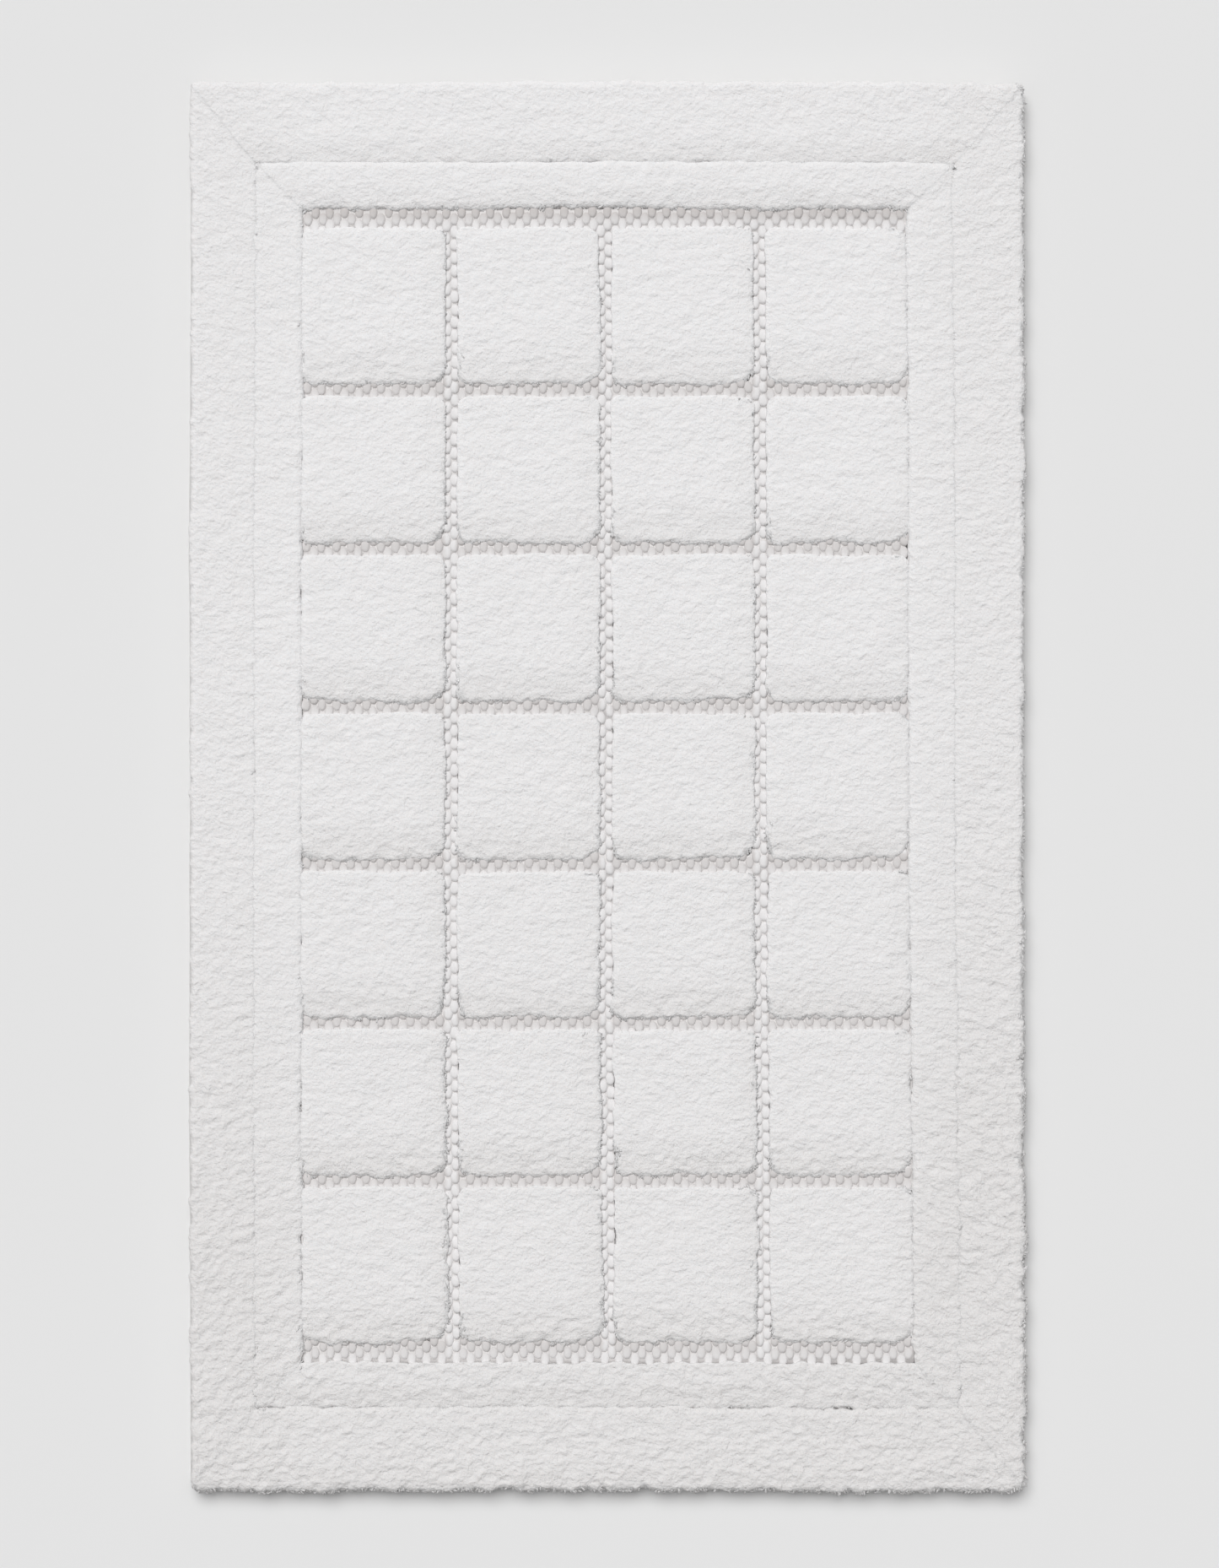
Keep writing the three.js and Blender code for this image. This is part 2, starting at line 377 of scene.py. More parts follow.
def finish_piece(bm, name, material, node_names):
    """Makes the bmesh an object that rides on the mat and stands for its CAD nodes."""
    mesh = bpy.data.meshes.new(name)
    bm.to_mesh(mesh)
    bm.free()
    return finish_mesh(mesh, name, material, node_names)


def finish_mesh(mesh, name, material, node_names):
    """Does the same for a mesh."""
    points = np.empty(3 * len(mesh.vertices), np.float32)
    mesh.vertices.foreach_get("co", points)
    points = settle(points.reshape(-1, 3).astype(float))
    mesh.vertices.foreach_set("co", np.asarray(points, np.float32).ravel())
    mesh.polygons.foreach_set("use_smooth", np.ones(len(mesh.polygons), bool))
    mesh.materials.append(material.material)
    mesh.update()
    piece = bpy.data.objects.new(name, mesh)
    bpy.context.scene.collection.objects.link(piece)
    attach(piece, "root")
    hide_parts(*node_names)
    return piece


# %% [markdown]
# ## One yarn end, and how thousands are planted
#
# A cut yarn end is a soft, blunt stub that lies over its neighbours. It is seen only as a short
# strand, so it has four sides and few triangles. One is made with bmesh operators, and `plant`
# copies its vertices to every root with that root's own length, thickness, direction and bend.

# %% The yarn end
STEM = 0.7  # share of its height below the blunt tip


def make_yarn_end():
    """A stub of radius 1 and height 1 along Z: a four-sided stem with a blunt tip."""
    bm = bmesh.new()
    bmesh.ops.create_cone(bm, cap_ends=True, segments=4, radius1=0.75, radius2=0.9, depth=STEM)
    bmesh.ops.translate(bm, verts=bm.verts, vec=(0, 0, STEM / 2))
    top = [f for f in bm.faces if f.calc_center_median().z > 0.99 * STEM]
    poked = bmesh.ops.poke(bm, faces=top)
    bmesh.ops.translate(bm, verts=poked["verts"], vec=(0, 0, 1 - STEM))
    bmesh.ops.triangulate(bm, faces=bm.faces)
    return bm


def points_and_faces(bm):
    """A bmesh's vertices and triangles as arrays."""
    bm.verts.index_update()
    points = np.array([v.co for v in bm.verts])
    faces = np.array([[v.index for v in f.verts] for f in bm.faces])
    bm.free()
    return points, faces


yarn_points, yarn_faces = points_and_faces(make_yarn_end())
print("a yarn end has", len(yarn_faces), "triangles")


def unit(vectors):
    return vectors / np.linalg.norm(vectors, axis=1, keepdims=True)


def plant(roots, towards, length, radius, bend, rng):
    """Points of a yarn end at every root: (roots, points of one, 3)."""
    side = unit(np.cross(towards, rng.normal(size=roots.shape)))
    other = np.cross(towards, side)
    px, py, pz = (yarn_points[:, k][None, :, None] for k in range(3))
    across = radius[:, None, None] * (px * side[:, None] + py * other[:, None])
    along = (length[:, None, None] * pz) * towards[:, None]
    return roots[:, None] + across + along + pz * pz * bend[:, None]


def add_copies(mesh, copies, faces):
    """Joins copies of a template to a mesh, and returns the joined mesh."""
    count, per_copy = copies.shape[:2]
    joined = bmesh.new()
    joined.from_mesh(mesh)
    tail = bpy.data.meshes.new(mesh.name + "_copies")
    tail.vertices.add(count * per_copy)
    tail.vertices.foreach_set("co", copies.astype(np.float32).ravel())
    index = (np.arange(count)[:, None, None] * per_copy + faces[None]).ravel()
    tail.loops.add(len(index))
    tail.loops.foreach_set("vertex_index", index.astype(np.int32))
    tail.polygons.add(len(index) // 3)
    tail.polygons.foreach_set("loop_start", np.arange(0, len(index), 3, dtype=np.int32))
    tail.update(calc_edges=True)
    joined.from_mesh(tail)
    joined.to_mesh(mesh)
    joined.free()
    bpy.data.meshes.remove(tail)
    return mesh


# %% [markdown]
# ## Cut pile
#
# Standing pile is a thick, soft slab: flat on top, with a rounded shoulder and a wall down to
# the cloth. It starts as a flat grid that is folded over the edges of its block, like a sheet
# over a mattress, and then gets its lumps. The pile leans a little towards the foot end and the
# right, as brushed cotton does. So each block hangs over the channel on those two sides and shows
# frayed yarn there, planted strand by strand, while its head and left sides stay smooth.

# %% Sizes of the pile
TOP_STEP = np.array([1.15, 1.0]) * MM  # spacing of the grid on top of the pile, along x and y
WALL_STEP = 2.2 * MM  # and down its walls
SHOULDER = 4.0 * MM
LEAN = np.array([0.12, -0.27])  # how far a yarn leans for each metre it is tall
TUFT_ROW = 4.43 * MM  # from one row of tufts to the next
YARNS_PER_MM2 = 0.3  # where the pile is most frayed
FACING = {"head": (1, 1), "foot": (1, -1), "left": (0, -1), "right": (0, 1)}  # axis, direction
SIDES = tuple(FACING)

pile_low, pile_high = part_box("pile_block_r1_c1")
pile_base = pile_low.z
pile_height = pile_high.z - pile_low.z


def parts(vectors):
    """How far vectors in plan point towards each of the four sides."""
    x, y = vectors[:, 0], vectors[:, 1]
    return {"head": y, "foot": -y, "left": -x, "right": x}


# %% [markdown]
# The pile's surface has lumps of several sizes. `LUMPS` and `WAVES` have a row for each size, in
# millimetres: how high the lumps are on calm pile, how much is added where it is rough and where
# it is roughest, how far apart they are along x and y, then a seed and a turn. `LUMPS` lifts the
# surface, and `WAVES` moves the edges in and out. The rows of tufts show as a faint, curved ripple.

# %% Relief of the pile
LUMPS = (
    (0.3, 0, 0, (24, 17), 21, 0.5),
    (0.12, 0.12, 0, (9, 6), 22, 0.2),
    (0.26, 0.14, 0.22, (4.6, 3.2), 23, 0.2),
    (0.26, 0.06, 0.2, (2.8, 2.1), 26, -0.2),
)
WAVES = (
    (0.7, 0, 0, (17, 15), 31, 0.7),
    (0.3, 0.8, 0, (7, 6), 32, 0.3),
    (0.15, 0.45, 0, (3.4, 3.4), 33, 0.3),
)
ROUGHEST = 0.6  # pile rougher than this counts towards the third height
RIPPLE = (0.02, 0.14)  # mm high on calm pile, and more where it is rough
RIPPLE_WANDER = 2.2 * MM
RIPPLE_SLOPE = 0.1
RIPPLE_LEAN = 0.6  # 0 is an even ripple, and more makes one flank steeper


def layers(x, y, rough, table):
    """Adds up the rows of LUMPS or WAVES, in millimetres."""
    worst = ease(rough, ROUGHEST, 1.0)
    return sum(
        (calm + more * rough + most * worst) * lumps(x, y, np.array(size) * MM, seed, turn)
        for calm, more, most, size, seed, turn in table
    )


def ripple(x, y, rough):
    """The rows of tufts, in millimetres, stronger in patches and where the pile is rough."""
    wander = RIPPLE_WANDER * lumps(x, y, (10 * MM, 6 * MM), 24)
    phase = (y + RIPPLE_SLOPE * x + wander) * 2 * math.pi / TUFT_ROW
    patch = 0.6 + 0.4 * lumps(x, y, (15 * MM, 12 * MM), 25)
    calm, more = RIPPLE
    return (calm + more * rough) * patch * np.sin(phase - RIPPLE_LEAN * np.sin(phase))


# %% [markdown]
# What an edge of pile does depends on what it faces. At the rim it stands free. Across a parting
# or a narrow strip the fluff of both sides nearly meets, so only a fine broken line shows. Over a
# channel it stays a clear edge. Each table gives, for the four ways an edge can face, how far the
# top swells out in millimetres and how much of the full rounded shoulder it has.

# %% Edges of the pile
RIM = {"head": (0.1, 0.4), "foot": (1.1, 0.8), "left": (-0.6, 0.7), "right": (0.6, 0.45)}
PARTING = {"head": (2.2, 0.5), "foot": (2.5, 0.8), "left": (3.1, 0.5), "right": (3.1, 0.5)}
CHANNEL = {"head": (0.5, 0.1), "foot": (0.9, 0.65), "left": (0.5, 0.3), "right": (1.2, 0.2)}
STRIP = (1.7, 0.6)
SWELLS_FROM, SWELLS_TO = -7 * MM, 2 * MM  # an edge swells over this stretch of the fold
SWELL_FADES = 1.6  # and less and less below 1 / 1.6 of the pile's height
LOWER = {"foot": 1.0 * MM, "right": 0.4 * MM}  # the pile is this much lower at two of its edges
HUG = 0.4 * MM  # low walls stand out at least this far, so that no slit opens beside the loops
MOST_INWARDS = 1.2 * MM  # and nowhere does an edge wander further in than this


def by_side(outward, table):
    """Blends a table's numbers for the four sides by which way each point faces."""
    facing = parts(outward)
    return sum(np.maximum(0, facing[s])[:, None] ** 2 * np.array(table[s]) for s in SIDES)


def splay(near, table):
    """How far yarns lean away towards the edges that they are near."""
    return sum(near[s][:, None] * np.array(table[s]) for s in SIDES)


def fold(distance, dip, tall):
    """Folds a flat distance past the start of the shoulder over it and down a wall of height tall.

    Returns how far in from the edge each point is, how far down, and how steep it faces.
    """
    angle = np.clip(distance / SHOULDER, 0, math.pi / 2)
    inset = np.where(distance < 0, SHOULDER - distance, SHOULDER * (1 - np.sin(angle)))
    wall = np.maximum(0, distance - SHOULDER * math.pi / 2) / (pile_height - SHOULDER)
    shoulder = dip * SHOULDER
    drop = shoulder * (1 - np.cos(angle)) + wall * (tall - shoulder)
    return inset, drop, angle


def stations(top_length, step):
    """Flat positions across a slab, from wall to wall, finer on top than down the walls."""
    wall = pile_height - SHOULDER
    arc = SHOULDER * math.pi / 2
    wall_cells = math.ceil(wall / WALL_STEP)
    top_cells = math.ceil((top_length + 2 * arc) / step)
    end = top_length + arc
    near_wall = np.linspace(-arc - wall, -arc, wall_cells, endpoint=False)
    top = np.linspace(-arc, end, top_cells, endpoint=False)
    return np.concatenate([near_wall, top, np.linspace(end, end + wall, wall_cells + 1)])


def dress(plan, outward, distance, table, near, rough):
    """Lifts folded plan points to the pile's surface, with its lumps, ripples and swollen edges."""
    swell, dip = by_side(outward, table).T
    tall = pile_height - sum(lower * near[side] ** 2 for side, lower in LOWER.items())
    drop, angle = fold(distance, dip, tall)[1:]
    high = np.clip(1 - drop / tall, 0, 1)
    x, y = plan[:, 0], plan[:, 1]
    rise = (layers(x, y, rough, LUMPS) + ripple(x, y, rough)) * MM
    wave = layers(x, y, rough, WAVES)
    edge = ease(distance, SWELLS_FROM, SWELLS_TO)
    out = ((swell + wave) * MM * edge + rise * np.sin(angle)) * np.minimum(1, SWELL_FADES * high)
    z = pile_base + tall - drop + rise * np.cos(angle)
    z = np.where(high < 1e-6, pile_base, np.maximum(z, pile_base))
    hug = 0.0 if table is RIM else HUG
    low_wall = 1 - ease(high, 0.6, 0.8)
    out = np.maximum(out, hug * low_wall - MOST_INWARDS * (1 - low_wall))
    points = np.column_stack([plan + outward * out[:, None], z])
    depth = 1 - high
    return {"points": points, "outward": outward, "angle": angle, "depth": depth, "rough": rough}


def rounded_corner(plan, outer, corner):
    """Rounds a rectangle's corners, and says which points moved and which way those face."""
    away = plan - np.clip(plan, corner - outer, outer - corner)
    near = np.abs(away).min(1) > 0
    towards = away / np.maximum(np.linalg.norm(away, axis=1), 1e-9)[:, None]
    moved = plan - away + towards * np.abs(away).max(1)[:, None]
    return moved, near, towards


# %% Blocks
HEAD_CORNERS = (4.5 * MM, 6 * MM)  # radii at the left and the right
FOOT_CORNERS = (7 * MM, 12 * MM)
BLOCK_NEAR = {"head": 0.6, "foot": 0.25, "left": 0.7, "right": 0.5}  # an edge is felt from here on
BLOCK_SPLAY = {"head": (0, 0.22), "foot": (0, -0.95), "left": (-0.15, 0), "right": (0.45, 0)}
BLOCK_ROUGH = (0.03, 0.5, 0.5)  # everywhere, more towards the mat's foot, more at frayed edges


class Block:
    """A rectangular block of pile, as a sheet folded over its CAD box."""

    def __init__(self, node):
        low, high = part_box(node)
        self.half = np.array([high.x - low.x, high.y - low.y]) / 2
        self.centre = np.array([high.x + low.x, high.y + low.y]) / 2
        flat = self.half - SHOULDER
        self.u = stations(2 * flat[0], TOP_STEP[0]) - flat[0]
        self.v = stations(2 * flat[1], TOP_STEP[1]) - flat[1]
        self.area = (self.u[-1] - self.u[0]) * (self.v[-1] - self.v[0])
        self.mitred = False
        self.at_rim = False
        self.table = dict(CHANNEL)
        if node.endswith("_c1"):
            self.table["left"] = STRIP
        if node.endswith("_c4"):
            self.table["right"] = STRIP

    def surface(self, u, v):
        """What dress returns for flat positions u, v, and how the yarns there splay."""
        by_end = np.where(v > 0, np.where(u < 0, *HEAD_CORNERS), np.where(u < 0, *FOOT_CORNERS))
        corner = by_end[:, None]
        flat = np.column_stack([u, v])
        core = np.clip(flat, corner - self.half, self.half - corner)
        away = flat - core
        far = np.abs(away).max(1)
        outward = away / np.maximum(np.linalg.norm(away, axis=1), 1e-9)[:, None]
        distance = far - corner[:, 0] + SHOULDER
        inset = fold(distance, 1.0, pile_height)[0]
        plan = core + outward * (corner - inset[:, None])
        share = parts(plan / self.half)
        near = {side: ease(share[side], BLOCK_NEAR[side], 1.0) for side in SIDES}
        plan = plan + self.centre
        low_end = ease(-plan[:, 1] / mat_half[1], -1.0, 0.9)
        everywhere, at_low_end, at_edge = BLOCK_ROUGH
        edge = np.maximum(near["foot"], 0.5 * near["right"])
        rough = np.clip(everywhere + at_low_end * low_end + at_edge * edge, 0, 1)
        found = dress(plan, outward, distance, self.table, near, rough)
        found["splay"] = splay(near, BLOCK_SPLAY)
        return found


# %% [markdown]
# A band is four sides that meet in mitres. Each runs on a little past its mitres and sinks into
# its neighbour there, so that no gap opens and no light is lost between them. Near a mitre its
# edges turn towards the corner's diagonal, so both sides swell alike.

# %% Sides of the bands
MITRE_TURN = 9 * MM  # over this length an edge turns from square to the diagonal
LAP = 2.4 * MM  # how far a side runs on past its mitre
LAP_CELLS = 3
LAP_AT_EDGE = 0.25  # share of the lap at the outer edge, where the neighbour's shoulder is low
LAP_WIDENS = (2 * MM, 10 * MM)
LAP_SINKS = 0.15 * MM
BAND_NEAR = (-14 * MM, 3 * MM)  # an edge is felt over this stretch of the fold
BAND_SPLAY = {"head": (0, 0.25), "foot": (0, -0.8), "left": (-0.3, 0), "right": (0.5, 0)}
# everywhere, more towards the mat's foot, its right and both its long edges, and at foot edges
BAND_ROUGH = np.array([0.1, 0.75, 0.15, 0.25, 0.4])


class BandSide:
    """One mitred side of a frame band, folded over its outer and inner edges."""

    def __init__(self, outer, inner, side, corner, outer_table, inner_table):
        self.outer = outer
        self.width = outer - inner
        self.corner = corner
        self.tables = (outer_table, inner_table)
        self.across, self.sign = FACING[side]
        self.u = stations(self.width[self.across] - 2 * SHOULDER, TOP_STEP[self.across]) + SHOULDER
        length = 2 * self.outer[1 - self.across]
        self.lap = 2 * LAP / length
        between = np.linspace(-1, 1, math.ceil(length / TOP_STEP[1 - self.across]) + 1)
        beyond = 1 + self.lap * np.arange(1, LAP_CELLS + 1) / LAP_CELLS
        self.v = np.concatenate([-beyond[::-1], between, beyond])
        self.area = (self.u[-1] - self.u[0]) * length
        self.mitred = True
        self.at_rim = outer_table is RIM

    def surface(self, u, v):
        """What dress returns for depths u and shares v of the length, and how the yarns splay."""
        width, other = self.width[self.across], self.width[1 - self.across]
        past_outer, past_inner = SHOULDER - u, u - (width - SHOULDER)
        outside = past_outer > past_inner
        distance = np.maximum(past_outer, past_inner)
        inset = fold(distance, 1.0, pile_height)[0]
        depth = np.where(outside, inset, width - inset)
        plan = np.empty((len(u), 2))
        plan[:, self.across] = self.sign * (self.outer[self.across] - depth)
        past = np.maximum(np.abs(v) - 1, 0) / self.lap
        share = LAP_AT_EDGE + (1 - LAP_AT_EDGE) * ease(depth, *LAP_WIDENS)
        v = np.clip(v, -1, 1) + np.sign(v) * self.lap * past * share
        plan[:, 1 - self.across] = v * (self.outer[1 - self.across] - depth * other / width)
        from_mitre = self.outer[1 - self.across] * (1 - np.abs(v)) + (np.abs(v) - 1) * depth
        turn = 0.5 * (1 - ease(from_mitre, 0, MITRE_TURN))
        facing_out = np.where(outside, 1, -1)
        outward = np.empty_like(plan)
        outward[:, self.across] = facing_out * self.sign * np.sqrt(1 - turn)
        outward[:, 1 - self.across] = facing_out * np.sign(v) * np.sqrt(turn)
        moved, near_corner, towards = rounded_corner(plan, self.outer, self.corner)
        near_corner &= outside
        plan[near_corner] = moved[near_corner]
        outward[near_corner] = towards[near_corner]
        close = ease(distance, *BAND_NEAR)
        near = {side: close * np.maximum(0, share) for side, share in parts(outward).items()}
        low_end = ease(-plan[:, 1] / mat_half[1], -0.3, 1.0)
        far_side = ease(plan[:, 0] / mat_half[0], -0.2, 0.9)
        beside = ease(np.abs(plan[:, 0]) / mat_half[0], 0.7, 0.9)
        places = np.stack([np.ones_like(close), low_end, far_side, beside, near["foot"]])
        rough = np.clip(BAND_ROUGH @ places, 0, 1)
        found = dress(plan, outward, distance, self.tables[0], near, rough)
        inner = dress(plan, outward, distance, self.tables[1], near, rough)
        for key in ("points", "depth", "angle"):
            found[key][~outside] = inner[key][~outside]
        found["points"][:, 2] = np.maximum(found["points"][:, 2] - LAP_SINKS * past, pile_base)
        found["splay"] = splay(near, BAND_SPLAY)
        return found


# %% Making a pile piece
STRAND_LENGTH = np.array([2.0, 1.6, 1.2]) * MM  # at least, more by chance, more where rough
STRAND_RADIUS = np.array([0.45, 0.35]) * MM  # at least, more by chance
STRAND_STEEP = (0.25, 0.8)  # they grow where the surface is steep: none at 0.25, all at 0.8
RIM_FRAY = 0.3  # how much more the mat's rim frays than an edge that faces the same way
STRAND_DEPTH_SHADE = 0.3  # how much painted shade a strand gets for the depth that it grows at
INNER_DEPTH_SHADE = 0.2  # share of that painted shade on the walls inside the mat
CLUMP = (5 * MM, 5 * MM)  # strands this close lean alike
CLUMP_LEAN = 0.8
LEAN_SPREAD = 0.3


def new_grid(cells):
    """A grid of cells as a bmesh, and the column and row of every vertex."""
    bm = bmesh.new()
    bmesh.ops.create_grid(bm, x_segments=cells[0], y_segments=cells[1], size=1)
    share = (np.array([v.co for v in bm.verts])[:, :2] + 1) / 2
    columns, rows = (np.rint(share[:, k] * cells[k]).astype(int) for k in (0, 1))
    return bm, columns, rows


def shell(piece):
    """The folded sheet, closed underneath. Its vertices keep how frayed and how deep they are."""
    last = len(piece.v) - 1
    bm, columns, rows = new_grid((len(piece.u) - 1, last))
    fray = bm.verts.layers.float.new("fray")
    sunk = bm.verts.layers.float.new("sunk")
    found = piece.surface(piece.u[columns], piece.v[rows])
    kept = (found[key] for key in ("points", "rough", "depth"))
    for vertex, *values in zip(bm.verts, *kept):
        vertex.co, vertex[fray], vertex[sunk] = values
    if piece.mitred:
        ends = [
            e
            for e in bm.edges
            if e.is_boundary and all(rows[v.index] in (0, last) for v in e.verts)
        ]
        for edge in ends:
            edge.smooth = False
        walls = bmesh.ops.extrude_edge_only(bm, edges=ends)
        for item in walls["geom"]:
            if isinstance(item, bmesh.types.BMVert):
                item.co.z = pile_base
        bmesh.ops.remove_doubles(bm, verts=bm.verts, dist=1e-7)
    bmesh.ops.contextual_create(bm, geom=[e for e in bm.edges if e.is_boundary])
    bmesh.ops.recalc_face_normals(bm, faces=bm.faces)
    return bm


def yarns(piece, seed):
    """Yarn ends that lie over the frayed edges, at the foot and the right of the pile."""
    rng = np.random.default_rng(seed)
    count = int(piece.area / MM**2 * YARNS_PER_MM2)
    u = rng.uniform(piece.u[0], piece.u[-1], count)
    v = rng.uniform(piece.v[0], piece.v[-1], count)
    found = piece.surface(u, v)
    edge = ease(np.sin(found["angle"]), *STRAND_STEEP)
    frayed = found["splay"] @ [1.2, -1.2] + (RIM_FRAY if piece.at_rim else 0.0)
    frayed = np.clip(frayed, 0, 1)
    kept = rng.random(count) < found["rough"] * edge * frayed
    kept &= (found["depth"] < 0.5) | piece.at_rim
    points, outward, angle, splay, rough, depth = (
        found[key][kept] for key in ("points", "outward", "angle", "splay", "rough", "depth")
    )
    count = len(points)
    steep = np.sin(angle)[:, None]
    facing = np.column_stack([outward * steep, np.cos(angle)])
    x, y = points[:, 0], points[:, 1]
    clump = np.column_stack([lumps(x, y, CLUMP, 41, 0.4), lumps(x, y, CLUMP, 42, 0.8)])
    lean = LEAN + splay + CLUMP_LEAN * clump + rng.normal(0, LEAN_SPREAD, (count, 2))
    flat = np.column_stack([lean, np.zeros(count)])
    along = unit(flat - (flat * facing).sum(1, keepdims=True) * facing)
    lift = 0.04 + rng.normal(0, 0.05, (count, 1)) + 0.5 * steep * rng.random((count, 1))
    towards = unit(along + lift * facing)
    least, more, most = STRAND_LENGTH
    length = least + more * rng.random(count) + most * rough * rng.random(count)
    radius = STRAND_RADIUS[0] + STRAND_RADIUS[1] * rng.random(count)
    droop = np.column_stack([lean * 0.1, -0.05 - 0.2 * steep[:, 0] * rough])
    roots = points - (0.95 - 0.25 * steep) * radius[:, None] * facing
    roots[:, 2] = np.maximum(roots[:, 2], pile_base + 0.3 * MM)
    copies = plant(roots, towards, length, radius, droop * length[:, None], rng)
    return copies, rough, STRAND_DEPTH_SHADE * depth


def make_pile(piece, name, node, seed):
    """A block or a side of a band: its shell and its strands in one mesh."""
    mesh = bpy.data.meshes.new(name)
    bm = shell(piece)
    bm.to_mesh(mesh)
    bm.free()
    copies, rough, depth = yarns(piece, seed)
    add_copies(mesh, copies, yarn_faces)
    for attribute, of_root in (("fray", rough), ("sunk", depth)):
        kept = np.empty(len(mesh.vertices), np.float32)
        data = mesh.attributes[attribute].data
        data.foreach_get("value", kept)
        kept[-copies.shape[0] * copies.shape[1]:] = np.repeat(of_root, copies.shape[1])
        # Walls inside the mat get only part of the painted shade by depth; the rim's walls get all
        # of it.
        if attribute == "sunk" and not piece.at_rim:
            kept *= INNER_DEPTH_SHADE
        data.foreach_set("value", kept)
    return finish_mesh(mesh, name, cut_pile, [node])


# %% Blocks and bands
block_names = sorted(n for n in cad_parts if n.startswith("pile_block"))
pile_pieces = [
    make_pile(Block(n), n.replace("pile_block", "cut_pile"), n, 100 + k)
    for k, n in enumerate(block_names)
]

PARTING_WIDTH = 2.5 * MM
FIELD_CLEARANCE = 0.3 * MM
RIM_CORNER = 6 * MM
INNER_CORNER = 2.5 * MM
parting_half = np.array([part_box("inner_band_right")[1].x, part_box("inner_band_head")[1].y])
field_half = np.array(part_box("loop_pile_lattice")[1])[:2] + FIELD_CLEARANCE
inner_edges = {**CHANNEL, "left": STRIP, "right": STRIP}
for number, side in enumerate(SIDES):
    outer = BandSide(mat_half, parting_half + PARTING_WIDTH, side, RIM_CORNER, RIM, PARTING)
    inner = BandSide(parting_half, field_half, side, INNER_CORNER, PARTING, inner_edges)
    pile_pieces.append(make_pile(outer, f"outer_pile_{side}", f"outer_band_{side}", 200 + number))
    pile_pieces.append(make_pile(inner, f"inner_pile_{side}", f"inner_band_{side}", 210 + number))
print("pile pieces", len(pile_pieces), "polygons", sum(len(p.data.polygons) for p in pile_pieces))

# %% [markdown]
# ## Loop pile
#
# Low loops fill the channels. From above, each loop is a small pillow, longer along the mat than
# it is wide. The loops stand end to end in columns, and every other column is shifted by half a
# loop, so they pack like bricks. One pillow is an icosphere whose sides are pushed out a little
# towards a box, and it is copied to every place that lies between the blocks. The pillows stand
# on a bed, which is a copy of the CAD lattice pressed lower.

# %% Places of the loops
LOOPS_PER_BLOCK = 21  # columns of loops from one column of blocks to the next
ROWS_PER_BLOCK = 24  # rows of loops from one row of blocks to the next
END_GAP = 2.2 * MM  # from the last row of loops to the band
LOOP = np.array([2.95, 4.1, 2.0]) * MM  # half width, half length, half height
REACH = np.array([1.4, 3.2]) * MM  # a loop may stand this far in under a block's edge
BED_BELOW_TOPS = 1.0 * MM
FIELD_MARGIN = 1.2 * MM  # no loop stands closer than this to the field's long edges

field_low, field_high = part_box("loop_pile_lattice")


def channel_middles(axis, names):
    """The middles of the channels between blocks that follow each other along an axis."""
    spans = sorted((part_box(n)[0][axis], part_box(n)[1][axis]) for n in names)
    return [(a[1] + b[0]) / 2 for a, b in zip(spans, spans[1:])]


def loop_places():
    """Places of the loops: staggered rows over the field, without those under a block."""
    across = channel_middles(0, [n for n in block_names if "_r1_" in n])
    along = channel_middles(1, [n for n in block_names if n.endswith("_c1")])
    column = (across[1] - across[0]) / LOOPS_PER_BLOCK
    row = (along[1] - along[0]) / ROWS_PER_BLOCK
    inside = np.arange(along[0] + row / 2, along[-1], row)
    end_length = field_high.y - END_GAP - along[-1]
    end_rows = round(end_length / row - 0.5)
    beyond = along[-1] + (np.arange(end_rows + 1) + 0.5) * end_length / (end_rows + 0.5)
    rows = np.concatenate([-beyond[::-1], inside, beyond])
    steps = np.arange(math.ceil(field_low.x / column), field_high.x / column - 0.2)
    places = []
    for number, y in enumerate(rows):
        xs = (steps[number % 2 :: 2] + 0.5) * column + across[1]
        places.append(np.column_stack([xs, np.full_like(xs, y)]))
    places = np.concatenate(places)
    keep = np.abs(places[:, 0]) < field_high.x - FIELD_MARGIN
    for name in block_names:
        low, high = np.array(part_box(name))[:, :2]
        keep &= ~((places > low + REACH) & (places < high - REACH)).all(1)
    return places[keep]


# %% The loops
SQUARENESS = np.array([0.88, 0.92, 0.6])  # 1 is a round ball, and less is nearer to a box
TOP_ABOVE_CAD = 0.3 * MM
TILT = 0.07  # how much a loop dips towards its head end, for each metre along it
SIZE_SPREAD = 0.04
TURN_SPREAD = 0.07  # in radians
PLACE_SPREAD = 0.2 * MM
TOP_SPREAD = 0.15 * MM
BAND_SHADE = 1.5  # how strong the painted shadow is at the band, where 1 is full painted shadow at a block
BAND_SHADE_OVER = (1 * MM, 11 * MM)
BLOCK_SHADE_OVER = (0, 13 * MM)


def make_pillow():
    """One loop from above: half size 1 along every axis."""
    bm = bmesh.new()
    bmesh.ops.create_icosphere(bm, subdivisions=2, radius=1)
    points, faces = points_and_faces(bm)
    return np.sign(points) * np.abs(points) ** SQUARENESS, faces


def make_bed(mesh):
    """A lowered copy of the CAD lattice, for the loops to stand in."""
    bm = bmesh.new()
    bm.from_mesh(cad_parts["loop_pile_lattice"].data)
    bmesh.ops.remove_doubles(bm, verts=bm.verts, dist=1e-6)
    full = field_high.z - field_low.z
    share = (full - BED_BELOW_TOPS) / full
    for vertex in bm.verts:
        vertex.co.z = field_low.z + (vertex.co.z - field_low.z) * share
    bm.to_mesh(mesh)
    bm.free()
    return mesh


